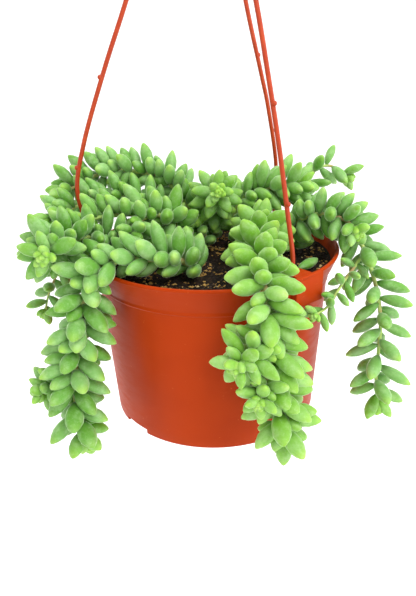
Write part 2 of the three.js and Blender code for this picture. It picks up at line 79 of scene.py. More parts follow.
POT_HEIGHT = 105
POT_BASE_RADIUS = 64.9
LINE_RADIUS = 70.6          # the raised line, where the flared band begins
LINE_HEIGHT = 88.4
LIP_RADIUS = 77
WALL = 1.6
LINE_PROUD = 0.6
FLOOR_THICKNESS = 2
DRAIN_RADIUS = 4
DRAIN_RING = 38
DRAIN_COUNT = 5
NOTCH_COUNT = 4
NOTCH_FIRST_DEG = -50
NOTCH_WIDTH_DEG = 18
NOTCH_HEIGHT = 3.4
NOTCH_INNER = 60
NOTCH_OUTER = 72            # the notch's cutter ends outside the wall

POT_STEPS = 144
WALL_STEP = 7               # height of a ring of the pot's faces

EAR_AZIMUTHS_DEG = (39.6, 139.6, -88)
EAR_TAB_INNER = 62.5
EAR_OUTER = 76.6
EAR_LEFT = -7
EAR_RIGHT = 14.2
EAR_TAB_RIGHT = 6.5
EAR_TAB_THICKNESS = 2.6
EAR_WALL_HEIGHT = 17.5
EAR_RIB_DROP = 34
EAR_RIB_RIGHT = -2.4

SOIL_TOP = 98
SOIL_GAP = 0.4              # above the pot's floor
SOIL_SHRINK = 0.55          # in from the pot's wall
SOIL_STEPS = 120
SOIL_RINGS = 34
CLUMP = 11                  # size of the patches where pale grit gathers
GRAIN_SEED = 7
GRAIN_ROUGHNESS = (0.62, 1.2)
GRAIN_HEIGHT = 0.7

STRAND_RADIUS = 1.3
STRAND_SIDES = 16
STRAND_STEPS = 14           # points from one profile point to the next
STRAND_ROOM_STEPS = 20      # and where room round the strands is measured
STRAND_APEX = POT_HEIGHT + 245
# Radius and height above the rim along each strand, from its ear to the hub.
STRAND_PROFILES = (
    ((66.6, 1.5), (66.2, 10), (62.3, 29), (54.3, 66),
     (45.7, 100), (36.8, 133), (20, 187), (6, 233)),
    ((66.6, 1.5), (68.6, 12), (68.3, 40), (58.4, 75.5),
     (49.8, 97.4), (33.9, 136.5), (19, 183), (6, 233)),
    ((66.6, 1.5), (72.5, 8), (79.3, 34), (73, 62),
     (58, 101), (43, 136), (23, 185), (6, 233)),
)
NUB_RADIUS = 1.7
NUB_OFFSET = 1.1
NUB_HEIGHTS = ((35, 86), (61, 106), (50, 97))
KNOB_RADIUS = 3
KNOB_HEIGHT = 2.4
KNOB_GAP = 0.35             # below the ear's tab
HUB_RADIUS = 7.6
HUB_TOP = 3.2
HUB_HEIGHT = 17
HOOK_BEND = 13.8
HOOK_SHANK = 12
HOOK_RADIUS = 1.8
HOOK_STEPS = 6

# ---------------------------------------------------------------- leafy stems

GOLDEN_ANGLE = 137.5
# Places along a leaf, as shares of its length, and its plumpness there, as shares of its width.
LEAF_BALLS = ((0.2, 0.62), (0.36, 0.9), (0.52, 1), (0.68, 0.97), (0.82, 0.8), (0.94, 0.45))
NODE_GAP = 0.35
SELF_OVERLAP = 0.76
STRAND_CLEARANCE = 1.1
STEM_CLEARANCE = 0.4
FLOOR_CLEARANCE = 1
ROUTE_STEPS = 10


def shoot(route, leaf, step, bare, radius, lean, young, turn):
    """One shoot: its route, its leaves' length and width, the step from leaf to leaf, the bare
    length at the root, the stem's radius, the leaves' lean, the length of the young end and the
    first turn."""
    return dict(route=route, leaf=leaf, step=step, bare=bare, radius=radius, lean=lean,
                young=young, turn=turn)


STEMS = {
    "stem_front_right": (
        shoot([(25, -88, 86), (17, -96, 80), (9, -105, 77)],
              (19, 8.4), 1.7, 7, 1.3, 86, 6, 40),
        shoot([(27, -88, 65), (23, -96, 59), (20, -105, 56)],
              (16, 7.6), 1.7, 7, 1.3, 86, 7, 130),
        shoot([(28, 8, 88), (28, 6, 100), (29, -4, 113), (28, -18, 118), (26, -38, 115),
               (25, -60, 111), (25, -79, 106), (26, -89, 94), (27, -89, 78), (29, -88, 60),
               (32, -88, 43), (35, -88, 28), (37, -87, 19)],
              (22, 10.2), 2.3, 24, 2, 68, 15, 20),
    ),
    "stem_front_left": (
        shoot([(-79, -60, 50), (-88, -63, 45), (-99, -67, 42)],
              (16.5, 7.8), 2.1, 8, 1.3, 78, 7, 0),
        shoot([(-10, -34, 88), (-10, -35, 99), (-16, -41, 108), (-29, -47, 112), (-43, -50, 113),
               (-57, -52, 112), (-67, -55, 105), (-71, -59, 92), (-74, -62, 76), (-77, -65, 58),
               (-79, -68, 40), (-77, -70, 24), (-74, -71, 11)],
              (21, 10.2), 2.35, 10, 2, 70, 15, 0),
    ),
    "stem_right": (
        shoot([(46, 7, 88), (46, 7, 99), (49, 1, 114), (57, -5, 122), (67, -11, 125),
               (77, -17, 123), (83, -26, 118)],
              (18, 9), 2, 13, 1.8, 72, 8, 200),
    ),
    "stem_far_right": (
        shoot([(90, -17, 103), (82, -27, 97), (72, -41, 92), (63, -53, 85), (53, -63, 83)],
              (13.5, 5.4), 3.6, 10, 1.1, 62, 8, 0),
        shoot([(56, 14, 88), (57, 13, 99), (62, 9, 111), (73, 2, 117), (84, -8, 114),
               (90, -17, 104), (94, -24, 92), (97, -31, 78), (98, -36, 63), (97, -40, 47),
               (96, -44, 31), (98, -47, 15)],
              (21, 9), 3.12, 24, 1.7, 66, 16, 70),
    ),
    "stem_left": (
        shoot([(-42, -14, 88), (-43, -14, 99), (-50, -15, 112), (-63, -19, 117), (-75, -32, 120),
               (-83, -46, 121), (-87, -62, 120)],
              (22, 8.8), 2, 24, 1.8, 86, 6, 15),
    ),
    "stem_middle": (
        shoot([(2, 36, 88), (2, 36, 99), (2, 32, 114), (2, 18, 128), (3, 4, 136), (4, -8, 139)],
              (18, 8), 1.9, 14, 1.7, 82, 14, 60),
    ),
    "stem_middle_short": (
        shoot([(-3, 16, 88), (-3, 16, 99), (-5, 14, 108), (-10, 9, 116)],
              (15, 8), 2, 12, 1.6, 78, 6, 30),
    ),
    "stem_left_inner": (
        shoot([(-34, -4, 125), (-41, -13, 125), (-46, -23, 121), (-48, -31, 116)],
              (16, 8.4), 2, 6, 1.4, 68, 7, 0),
        shoot([(-16, 8, 88), (-17, 8, 99), (-20, 6, 114), (-31, -2, 124), (-48, -8, 127),
               (-64, -12, 127), (-74, -17, 126)],
              (21, 10.2), 2.2, 14, 1.9, 68, 10, 100),
    ),
    "stem_back_left_low": (
        shoot([(-26, 22, 88), (-26, 22, 99), (-29, 21, 114), (-42, 18, 128), (-58, 14, 132),
               (-74, 7, 131), (-89, -3, 128), (-98, -12, 124)],
              (18, 8.8), 2.3, 20, 1.8, 68, 12, 60),
    ),
    "stem_back_left": (
        shoot([(-10, 30, 88), (-10, 30, 99), (-14, 30, 120), (-28, 32, 137), (-46, 33, 144),
               (-64, 31, 145), (-80, 24, 141), (-94, 12, 134)],
              (19, 9.4), 2.4, 24, 1.8, 68, 12, 30),
    ),
    "stem_back_right": (
        shoot([(16, 26, 88), (15, 26, 99), (15, 26, 115), (21, 25, 127), (32, 23, 133),
               (45, 21, 135), (58, 19, 136)],
              (21.5, 9.2), 2.2, 16, 1.8, 66, 8, 10),
    ),
    "stem_right_spray": (
        shoot([(57, 34, 88), (57, 34, 99), (59, 35, 122), (67, 37, 140), (78, 38, 144),
               (91, 38, 136)],
              (17.5, 7.8), 4.2, 26, 1.3, 64, 7, 0),
    ),
    "stem_left_thin": (
        shoot([(-54, 16, 88), (-55, 16, 99), (-64, 16, 109), (-78, 15, 109), (-90, 6, 98),
               (-99, 0, 86), (-104, -6, 75), (-106, -11, 65)],
              (16, 7.6), 3.6, 44, 1.1, 66, 10, 0),
    ),
    "stem_behind_left": (
        shoot([(-26, 48, 88), (-26, 48, 99), (-29, 56, 110), (-33, 70, 114), (-37, 83, 108),
               (-39, 90, 92), (-40, 92, 75), (-40, 92, 64)],
              (19, 9.4), 2.95, 18, 1.8, 68, 12, 0),
    ),
    "stem_behind_right": (
        shoot([(18, 48, 88), (18, 48, 99), (19, 56, 111), (21, 70, 114), (24, 85, 108),
               (25, 92, 92), (25, 93, 80)],
              (19, 9.4), 2.95, 18, 1.8, 68, 12, 90),
    ),
}
LOOSE_ROOT = (48, -36, 100.6)
LOOSE_TIP = (61, -24, 101.7)
LOOSE_WIDTH = 7.4

# How a leaf's own draws vary it, and how the young end of a shoot differs.
SIZE_LEAST = 0.9
SIZE_SPREAD = 0.2
TURN_SPREAD = 16
LEAN_SPREAD = 14
YOUNG_SHRINK = 0.5
YOUNG_UPRIGHT = 0.72
YOUNG_CLOSER = 0.55
END_GAP = 0.8
FIRST_SEED = 1000
SEED_STEP = 37
DRAW_FACTOR = 16807
DRAW_LIMIT = 2147483647
MOST_BALLS = 60000          # room for the balls that leaves, stems and strands are measured by

# More leaves fill the room that the first ones leave on close-set shoots, and buds close each tip.
CLOSE_SET = 3
FILL_SEED = 21
FILL_FROM = 0.75            # share of the bare length where filling starts
FILL_STEP = 1.1
FILL_TRIES = 20
FILL_LEAN = (-36, 22)
FILL_SIZE = (0.62, 1.05)
FILL_UPRIGHT = 0.6
FILL_END_GAP = 1
FILL_OVERLAP = 0.6
FILL_NODE_SHARE = 0.88      # how near a filling leaf may come to other nodes, by the radii
BUD_LEAVES = 9
BUD_LENGTH = 2.6
BUD_END_GAP = 0.4
BUD_LEAN = 6
BUD_SPREAD = 44
BUD_SIZE = 0.24
BUD_GROWTH = 0.2
BUD_OPENINGS = (0, 18, 36)  # how much further out a bud leaf leans where the room ahead is short
BOX_SLACK = 2.5             # how far such a leaf may stand outside its node's box

LEAF_SHAPES = 5
LEAF_ROUND = 10
LEAF_LONG = 8
LEAF_CURL = (0.02, 0.09)
LEAF_POINT = (0.16, 0.34)   # how much the tip narrows
POINT_FROM = 0.66
POINT_LENGTH = 0.34
LEAF_FULLNESS = (1.08, 1.24)
LEAF_BLUNTNESS = 0.54
LEAF_BACK = 0.86            # thickness of the rounder and the flatter half, by the width
LEAF_FACE = 0.72
LEAF_WIDTHS = (0.95, 1.03)
STEM_SIDES = 8
STEM_TAPER = 0.45
BOX_GAP = 0.05
# How fresh and yellow the grown leaves of some stems are.
FRESH_STEMS = {
    "stem_front_right": 0.65, "stem_middle": 0.35, "stem_left_inner": 0.2, "stem_back_right": 0.25,
}

# ---------------------------------------------------------------- colours, as on the sRGB scale


def srgb(hex_text):
    values = [int(hex_text[i:i + 2], 16) / 255 for i in (1, 3, 5)]
    linear = [v / 12.92 if v <= 0.04045 else ((v + 0.055) / 1.055) ** 2.4 for v in values]
    return (*linear, 1)


LEAF_GREEN = srgb("#5a9724")
LEAF_BLUE_GREEN = srgb("#76ab54")
LEAF_YOUNG = srgb("#8fc331")
LEAF_TIP = srgb("#aad238")
LEAF_BLOOM = srgb("#cfe6bb")
# Painted shade: a deep green laid on each leaf towards its root, where leaves crowd round the stem.
LEAF_PAINTED_SHADE = srgb("#37701a")
STEM_GREEN = srgb("#b3cf6e")
STEM_TAN = srgb("#b59a68")
POT_RED = srgb("#ab3606")
POT_DARK = srgb("#932a04")
POT_SCUFF = srgb("#c86236")
POT_GLOSS = srgb("#ffd2b4")
HANGER_RED = srgb("#a83610")
HANGER_PALE = srgb("#b8441a")
SOIL_DARK = srgb("#140d09")
SOIL_BROWN = srgb("#3b2819")
GRIT_BROWN = srgb("#8a6230")
GRIT_TAN = srgb("#d0a658")
GRIT_PALE = srgb("#e8d7a6")

# ---------------------------------------------------------------- materials


class Nodes:
    """A short way to add shader nodes to a new material and link them."""

    def __init__(self, name):
        self.material = bpy.data.materials.new(name)
        self.material.use_nodes = True
        self.tree = self.material.node_tree
        self.shader = self.tree.nodes["Principled BSDF"]

    def add(self, kind, **settings):
        node = self.tree.nodes.new(kind)
        for key, value in settings.items():
            setattr(node, key, value)
        return node

    def link(self, source, target):
        self.tree.links.new(source, target)

    def objects(self):
        return self.add("ShaderNodeTexCoord").outputs["Object"]

    def attribute(self, name):
        return self.add("ShaderNodeAttribute", attribute_name=name).outputs["Fac"]

    def noise(self, scale, detail=4, roughness=0.55, vector=None):
        node = self.add("ShaderNodeTexNoise")
        node.inputs["Scale"].default_value = scale
        node.inputs["Detail"].default_value = detail
        node.inputs["Roughness"].default_value = roughness
        self.link(vector or self.objects(), node.inputs["Vector"])
        return node.outputs["Fac"]

    def ramp(self, value, low, high, bottom=0, top=1):
        """A smooth step of the value from low to high, as bottom to top."""
        node = self.add("ShaderNodeMapRange", interpolation_type="SMOOTHSTEP")
        ends = {"From Min": low, "From Max": high, "To Min": bottom, "To Max": top}
        for key, number in ends.items():
            node.inputs[key].default_value = number
        self.link(value, node.inputs["Value"])
        return node.outputs["Result"]

    def maths(self, operation, first, second):
        node = self.add("ShaderNodeMath", operation=operation)
        for socket, value in zip(node.inputs, (first, second)):
            if isinstance(value, (int, float)):
                socket.default_value = value
            else:
                self.link(value, socket)
        return node.outputs["Value"]

    def mix(self, share, first, second):
        node = self.add("ShaderNodeMix", data_type="RGBA")
        for key, value in ((0, share), (6, first), (7, second)):
            if isinstance(value, (int, float, tuple)):
                node.inputs[key].default_value = value
            else:
                self.link(value, node.inputs[key])
        return node.outputs[2]

    def bump(self, height, strength, distance):
        node = self.add("ShaderNodeBump")
        node.inputs["Strength"].default_value = strength
        node.inputs["Distance"].default_value = distance
        self.link(height, node.inputs["Height"])
        self.link(node.outputs["Normal"], self.shader.inputs["Normal"])

    def set(self, **values):
        for key, value in values.items():
            socket = self.shader.inputs[key.replace("_", " ")]
            if isinstance(value, (int, float, tuple)):
                socket.default_value = value
            else:
                self.link(value, socket)


def leaf_material():
    n = Nodes("leaf_skin")
    along = n.attribute("along")
    tone = n.attribute("tone")
    young = n.attribute("young")
    patch = n.noise(38, 2)
    mottle = n.noise(900, 3, 0.7)
    shade = n.maths("ADD", n.maths("MULTIPLY", patch, 0.5), n.maths("MULTIPLY", tone, 0.6))
    shade = n.ramp(shade, 0.3, 0.85)
    base = n.mix(shade, LEAF_GREEN, LEAF_BLUE_GREEN)
    # Painted shade: the leaf darkens towards its root, up to half way to the deep green.
    base = n.mix(n.maths("MULTIPLY", n.ramp(along, 0.35, 0.0), 0.5), base, LEAF_PAINTED_SHADE)
    base = n.mix(n.maths("MULTIPLY", young, 0.6), base, LEAF_YOUNG)
    tip = n.maths("ADD", n.maths("MULTIPLY", tone, 0.45), 0.12)
    tip = n.maths("MULTIPLY", n.ramp(along, 0.74, 1.0), tip)
    base = n.mix(tip, base, LEAF_TIP)
    bloom = n.ramp(n.noise(160, 4, 0.65), 0.4, 0.7, 0.02, 0.24)
    bloom = n.maths("ADD", bloom, n.ramp(mottle, 0.5, 0.75, 0.0, 0.12))
    base = n.mix(bloom, base, LEAF_BLOOM)
    n.set(Base_Color=base, Roughness=n.ramp(mottle, 0.3, 0.7, 0.42, 0.6), Subsurface_Weight=0.16,
          Subsurface_Radius=(0.5, 1.0, 0.2), Subsurface_Scale=0.003, Sheen_Weight=1.0,
          Sheen_Roughness=0.3, Sheen_Tint=LEAF_BLOOM, Specular_IOR_Level=0.35)
    n.bump(mottle, 0.12, 0.0004)
    return n.material


def stem_material():
    n = Nodes("stem_skin")
    patch = n.noise(90, 3)
    fine = n.noise(700, 3)
    n.set(Base_Color=n.mix(n.ramp(patch, 0.45, 0.7), STEM_GREEN, STEM_TAN), Roughness=0.6,
          Subsurface_Weight=0.1, Subsurface_Radius=(0.5, 1.0, 0.3), Subsurface_Scale=0.002)
    n.bump(fine, 0.25, 0.0004)
    return n.material


def pot_material():
    n = Nodes("pot_plastic")
    cloud = n.noise(14, 3)
    stretch = n.add("ShaderNodeMapping")
    stretch.inputs["Scale"].default_value = (1, 1, 4)
    n.link(n.objects(), stretch.inputs["Vector"])
    streak = n.noise(70, 5, 0.7, stretch.outputs["Vector"])
    fine = n.noise(1400, 3, 0.6)
    colour = n.mix(n.ramp(cloud, 0.35, 0.7, 0.0, 0.6), POT_RED, POT_DARK)
    scuff = n.maths("MULTIPLY", n.ramp(streak, 0.62, 0.78), 0.3)
    speck = n.ramp(n.noise(420, 2, 0.5), 0.72, 0.78, 0.0, 0.45)
    colour = n.mix(n.maths("ADD", scuff, speck), colour, POT_SCUFF)
    n.set(Base_Color=colour, Roughness=n.ramp(streak, 0.35, 0.75, 0.4, 0.56),
          Subsurface_Weight=0.05, Subsurface_Radius=(1.0, 0.3, 0.1), Subsurface_Scale=0.002,
          Specular_IOR_Level=0.12, Specular_Tint=POT_GLOSS)
    n.bump(fine, 0.02, 0.0003)
    return n.material


def hanger_material():
    n = Nodes("hanger_plastic")
    cloud = n.noise(120, 3)
    fine = n.noise(1100, 2)
    n.set(Base_Color=n.mix(n.ramp(cloud, 0.4, 0.7, 0.0, 0.6), HANGER_RED, HANGER_PALE),
          Roughness=n.ramp(fine, 0.3, 0.7, 0.3, 0.45), Subsurface_Weight=0.08,
          Subsurface_Radius=(1.0, 0.3, 0.1), Subsurface_Scale=0.001, Specular_IOR_Level=0.3)
    n.bump(fine, 0.08, 0.0003)
    return n.material


def soil_material():
    n = Nodes("potting_mix")
    lump = n.noise(260, 6, 0.75)
    fine = n.noise(900, 4, 0.7)
    colour = n.mix(n.ramp(lump, 0.42, 0.68), SOIL_DARK, SOIL_BROWN)
    colour = n.mix(n.ramp(fine, 0.66, 0.72), colour, GRIT_TAN)
    n.set(Base_Color=colour, Roughness=0.92, Specular_IOR_Level=0.25)
    n.bump(n.maths("ADD", lump, fine), 0.7, 0.0012)
    return n.material


def grit_material(name, colour, dark):
    n = Nodes(name)
    fine = n.noise(1500, 3, 0.7)
    n.set(Base_Color=n.mix(n.ramp(fine, 0.35, 0.65), dark, colour), Roughness=0.85)
    n.bump(fine, 0.5, 0.0004)
    return n.material


# ---------------------------------------------------------------- making pieces


def add_piece(name, bm, materials, node=None, sharp_deg=38):
    """The bmesh, drawn in millimetres, as a finished piece in metres on the one body."""
    for face in bm.faces:
        face.smooth = True
    for edge in bm.edges:
        if len(edge.link_faces) == 2 and edge.calc_face_angle() > math.radians(sharp_deg):
            edge.smooth = False
    bmesh.ops.scale(bm, vec=(MM, MM, MM), verts=bm.verts)
    mesh = bpy.data.meshes.new(name)
    bm.to_mesh(mesh)
    bm.free()
    for material in materials:
        mesh.materials.append(material)
    piece = bpy.data.objects.new(name, mesh)
    bpy.context.collection.objects.link(piece)
    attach(piece, "root")
    if node:
        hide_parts(node)


def spin_profile(profile, steps):
    """A closed body of revolution about +Z from (radius, height) points."""
    bm = bmesh.new()
    corners = [bm.verts.new((radius, 0, height)) for radius, height in profile]
    for first, second in zip(corners, corners[1:]):
        bm.edges.new((first, second))
    bmesh.ops.spin(bm, geom=bm.verts[:] + bm.edges[:], cent=(0, 0, 0), axis=(0, 0, 1), angle=TAU,
                   steps=steps, use_merge=True)
    bmesh.ops.remove_doubles(bm, verts=bm.verts, dist=0.01)
    bmesh.ops.recalc_face_normals(bm, faces=bm.faces)
    return bm


def rounded(profile, radius, steps=4):
    """The same outline with every inner corner rounded off to about the radius."""
    result = [profile[0]]
    for before, corner, after in zip(profile, profile[1:], profile[2:]):
        corner = Vector(corner)
        back = Vector(before) - corner
        on = Vector(after) - corner
        reach = min(radius, back.length * 0.45, on.length * 0.45)
        start = corner + back.normalized() * reach
        end = corner + on.normalized() * reach
        for i in range(steps + 1):
            share = i / steps
            point = start * (1 - share) ** 2 + corner * 2 * share * (1 - share) + end * share ** 2
            result.append((point.x, point.y))
    return result + [profile[-1]]


def finer(profile, step):
    """The profile with its long stretches cut into shorter ones."""
    points = [profile[0]]
    for (out, z), (next_out, next_z) in zip(profile, profile[1:]):
        count = max(1, round(math.hypot(next_out - out, next_z - z) / step))
        points += [(out + (next_out - out) * i / count, z + (next_z - z) * i / count)
                   for i in range(1, count + 1)]
    return points


def append(target, source, matrix=None, material_index=0):
    """Adds one bmesh to another and frees it."""
    before = len(target.verts)
    mesh = bpy.data.meshes.new("passing")
    source.to_mesh(mesh)
    source.free()
    faces_before = len(target.faces)
    target.from_mesh(mesh)
    bpy.data.meshes.remove(mesh)
    target.verts.ensure_lookup_table()
    target.faces.ensure_lookup_table()
    if matrix is not None:
        bmesh.ops.transform(target, matrix=matrix, verts=target.verts[before:])
    for face in target.faces[faces_before:]:
        face.material_index = material_index


def catmull_rom(points, steps):
    """The solids' own curve through the points, sampled evenly in its parameter."""
    points = np.array(points, float)
    padded = np.vstack([2 * points[0] - points[1], points, 2 * points[-1] - points[-2]])
    count = (len(points) - 1) * steps
    samples = []
    for i in range(count + 1):
        place = min(i / steps, len(points) - 1 - 1e-9)
        k = int(place)
        w = place - k
        before, start, end, after = padded[k:k + 4]
        t0 = 0.5 * (end - before)
        t1 = 0.5 * (after - start)
        samples.append(start + t0 * w + (-3 * start + 3 * end - 2 * t0 - t1) * w ** 2
                       + (2 * start - 2 * end + t0 + t1) * w ** 3)
    return np.array(samples)


def tube(points, radii, sides):
    """A closed round tube with flat ends: one circle, extruded from point to point."""
    points = [Vector(p) for p in points]
    bm = bmesh.new()
    ahead = (points[1] - points[0]).normalized()
    side = ahead.orthogonal().normalized()
    ring = bmesh.ops.create_circle(bm, cap_ends=True, radius=1, segments=sides)["verts"]
    cap = ring[0].link_faces[0]
    faces = [cap]
    for i, point in enumerate(points):
        ahead = (points[min(i + 1, len(points) - 1)] - points[max(i - 1, 0)]).normalized()
        side = (side - ahead * side.dot(ahead)).normalized()
        other = ahead.cross(side)
        if i:
            grown = bmesh.ops.extrude_face_region(bm, geom=faces)
            old = faces
            faces = [g for g in grown["geom"] if isinstance(g, bmesh.types.BMFace)]
            if i > 1:
                bmesh.ops.delete(bm, geom=old, context="FACES_ONLY")
            ring = list(faces[0].verts)
        for k, vert in enumerate(ring):
            angle = TAU * k / sides
            vert.co = point + (side * math.cos(angle) + other * math.sin(angle)) * radii[i]
    bmesh.ops.recalc_face_normals(bm, faces=bm.faces)
    return bm


# ---------------------------------------------------------------- pot


def outer_radius(z):
    if z > LINE_HEIGHT:
        flare = LIP_RADIUS - LINE_RADIUS
        return LINE_RADIUS + flare * (z - LINE_HEIGHT) / (POT_HEIGHT - LINE_HEIGHT)
    return POT_BASE_RADIUS + (LINE_RADIUS - POT_BASE_RADIUS) * z / LINE_HEIGHT


def inner_radius(z):
    return outer_radius(z) - WALL


def from_axis(azimuth_deg, out, across=0):
    """X and Y from the distance out from the pot's axis and across, at an azimuth from -Y."""
    angle = math.radians(azimuth_deg)
    return (out * math.sin(angle) + across * math.cos(angle),
            -out * math.cos(angle) + across * math.sin(angle))


def extrude_outline(points, offset, bevel=0.0):
    """A closed flat outline, extruded by an offset, with softened edges."""
    bm = bmesh.new()
    face = bm.faces.new([bm.verts.new(p) for p in points])
    grown = bmesh.ops.extrude_face_region(bm, geom=[face])["geom"]
    moved = [g for g in grown if isinstance(g, bmesh.types.BMVert)]
    bmesh.ops.translate(bm, vec=offset, verts=moved)
    bmesh.ops.recalc_face_normals(bm, faces=bm.faces)
    if bevel:
        bmesh.ops.bevel(bm, geom=bm.edges[:], offset=bevel, segments=3, profile=0.5,
                        affect="EDGES", material=-1, clamp_overlap=True)
    return bm


def radial_matrix(azimuth_deg):
    """Takes x as out from the axis, y as across and z as up to their place at an azimuth."""
    return Matrix.Rotation(math.radians(azimuth_deg - 90), 4, "Z")


def ear():
    """One ear as a flat box on the flared band, with the rib under it, drawn out along +X."""
    low = POT_HEIGHT - EAR_WALL_HEIGHT
    inside = WALL - 0.1
    outline = [
        (outer_radius(low) - inside, EAR_LEFT, low),
        (EAR_OUTER, EAR_LEFT, low),
        (EAR_OUTER, EAR_LEFT, POT_HEIGHT),
        (outer_radius(POT_HEIGHT) - inside, EAR_LEFT, POT_HEIGHT),
    ]
    block = extrude_outline(outline, (0, EAR_RIGHT - EAR_LEFT, 0), bevel=0.7)
    foot = POT_HEIGHT - EAR_RIB_DROP
    rib = [
        (outer_radius(foot) - 1, EAR_LEFT, foot),
        (outer_radius(foot), EAR_LEFT, foot),
        (EAR_OUTER, EAR_LEFT, low),
        (EAR_OUTER, EAR_LEFT, low + 1.5),
        (outer_radius(foot) - 1, EAR_LEFT, low + 1.5),
    ]
    append(block, extrude_outline(rib, (0, EAR_RIB_RIGHT - EAR_LEFT, 0), bevel=0.5))
    tab_low = POT_HEIGHT - EAR_TAB_THICKNESS
    tab = [
        (EAR_TAB_INNER, EAR_LEFT + 2, tab_low),
        (EAR_OUTER - 1, EAR_LEFT + 1, tab_low),
        (EAR_OUTER - 1, EAR_TAB_RIGHT, tab_low),
        (EAR_TAB_INNER + 3, EAR_TAB_RIGHT, tab_low),
    ]
    append(block, extrude_outline(tab, (0, 0, EAR_TAB_THICKNESS + 0.02), bevel=0.5))
    return block


def cut(piece_mesh, cutters):
    """The mesh with the cutters' bodies taken out of it, by Blender's own Boolean."""
    host = bpy.data.objects.new("host", piece_mesh)
    bpy.context.collection.objects.link(host)
    tool_mesh = bpy.data.meshes.new("cutters")
    cutters.to_mesh(tool_mesh)
    cutters.free()
    tool = bpy.data.objects.new("cutters", tool_mesh)
    bpy.context.collection.objects.link(tool)
    step = host.modifiers.new("cut", "BOOLEAN")
    step.operation = "DIFFERENCE"
    step.solver = "EXACT"
    step.object = tool
    bpy.context.view_layer.update()
    evaluated = host.evaluated_get(bpy.context.evaluated_depsgraph_get())
    result = bmesh.new()
    result.from_mesh(evaluated.to_mesh())
    evaluated.to_mesh_clear()
    bpy.data.objects.remove(host)
    bpy.data.objects.remove(tool)
    return result


def pot_shell():
    line, up, proud = LINE_RADIUS, LINE_HEIGHT, LINE_PROUD
    outline = rounded([
        (0, 0), (POT_BASE_RADIUS, 0),
        (outer_radius(up - 1.1), up - 1.1), (line + proud, up - 0.55),
        (line + proud, up + 0.3), (outer_radius(up + 1.4), up + 1.4),
        (LIP_RADIUS - 0.35, POT_HEIGHT - 2.1), (LIP_RADIUS, POT_HEIGHT - 1.6),
        (LIP_RADIUS, POT_HEIGHT), (LIP_RADIUS - WALL - 0.3, POT_HEIGHT),
        (line - WALL, up), (inner_radius(0), FLOOR_THICKNESS), (0, FLOOR_THICKNESS),
    ], 0.8, 3)
    return spin_profile(finer(outline, WALL_STEP), POT_STEPS)


def pot_cutters():
    cutters = bmesh.new()
    half = POT_BASE_RADIUS * math.sin(math.radians(NOTCH_WIDTH_DEG / 2))
    for i in range(NOTCH_COUNT):
        outline = [(NOTCH_INNER, -half, -1), (NOTCH_OUTER, -half, -1),
                   (NOTCH_OUTER, half, -1), (NOTCH_INNER, half, -1)]
        block = extrude_outline(outline, (0, 0, NOTCH_HEIGHT + 1))
        append(cutters, block, radial_matrix(NOTCH_FIRST_DEG + 360 * i / NOTCH_COUNT))
    for i in range(DRAIN_COUNT):
        x, y = from_axis(360 * i / DRAIN_COUNT, DRAIN_RING)
        hole = bmesh.new()
        bmesh.ops.create_cone(hole, cap_ends=True, segments=24, radius1=DRAIN_RADIUS,
                              radius2=DRAIN_RADIUS, depth=12)
        append(cutters, hole, Matrix.Translation((x, y, 0)))
    return cutters


def make_pot(material):
    shell = pot_shell()
    shell_mesh = bpy.data.meshes.new("shell")
    shell.to_mesh(shell_mesh)
    shell.free()
    pot = cut(shell_mesh, pot_cutters())
    for azimuth in EAR_AZIMUTHS_DEG:
        append(pot, ear(), radial_matrix(azimuth))
    add_piece("pot_shell", pot, [material], "pot")


# ---------------------------------------------------------------- soil


def grain(bm, place, radius, rng):
    """A rough, flattened crumb."""
    ball = bmesh.new()
    bmesh.ops.create_icosphere(ball, subdivisions=1, radius=radius)
    for vert in ball.verts:
        vert.co *= rng.uniform(*GRAIN_ROUGHNESS)
    turn = Matrix.Rotation(rng.uniform(0, TAU), 4, Vector(rng.normal(size=3)).normalized())
    squeeze = Matrix.Diagonal((1, rng.uniform(0.6, 1), GRAIN_HEIGHT, 1))
    append(bm, ball, Matrix.Translation(place) @ squeeze @ turn)


def soil_height(x, y):
    place = Vector((x, y, 0))
    return 1.1 * noise.noise(place / 9) + 0.7 * noise.noise(place / 3.2) - 0.9


def make_soil(soil, crumb, grit, pale):
    low = FLOOR_THICKNESS + SOIL_GAP
    edge = inner_radius(SOIL_TOP) - SOIL_SHRINK
    profile = [(0, low), (inner_radius(low) - SOIL_SHRINK, low),
               (LINE_RADIUS - WALL - SOIL_SHRINK, LINE_HEIGHT), (edge, SOIL_TOP)]
    profile += [(edge * (1 - (i + 1) / SOIL_RINGS), SOIL_TOP) for i in range(SOIL_RINGS)]
    body = spin_profile(profile, SOIL_STEPS)
    for vert in body.verts:
        x, y, z = vert.co
        if z > SOIL_TOP - 0.5 and math.hypot(x, y) < edge - 0.5:
            vert.co.z += soil_height(x, y)
    add_piece("soil_body", body, [soil], "soil", sharp_deg=180)
    rng = np.random.default_rng(GRAIN_SEED)
    for name, material, count, small, large, clumped in (
            ("soil_crumbs", crumb, 1500, 0.5, 1.6, False),
            ("soil_bark_and_sand", grit, 2400, 0.35, 1.5, True),
            ("soil_pale_grit", pale, 500, 0.4, 1.3, True)):
        grains = bmesh.new()
        for _ in range(count):
            out = (edge - 1.2) * math.sqrt(rng.uniform(0, 1))
            angle = rng.uniform(0, TAU)
            x, y = out * math.cos(angle), out * math.sin(angle)
            radius = rng.uniform(small, large) * rng.uniform(0.6, 1)
            if clumped and noise.noise(Vector((x, y, 0)) / CLUMP) < rng.uniform(-0.15, 0.35):
                continue
            z = SOIL_TOP + soil_height(x, y) + radius * 0.2
            grain(grains, (x, y, z), radius, rng)
        add_piece(name, grains, [material], sharp_deg=180)


# ---------------------------------------------------------------- hanger


def strand_points(index):
    azimuth = EAR_AZIMUTHS_DEG[index]
    return [(*from_axis(azimuth, out), POT_HEIGHT + up) for out, up in STRAND_PROFILES[index]]


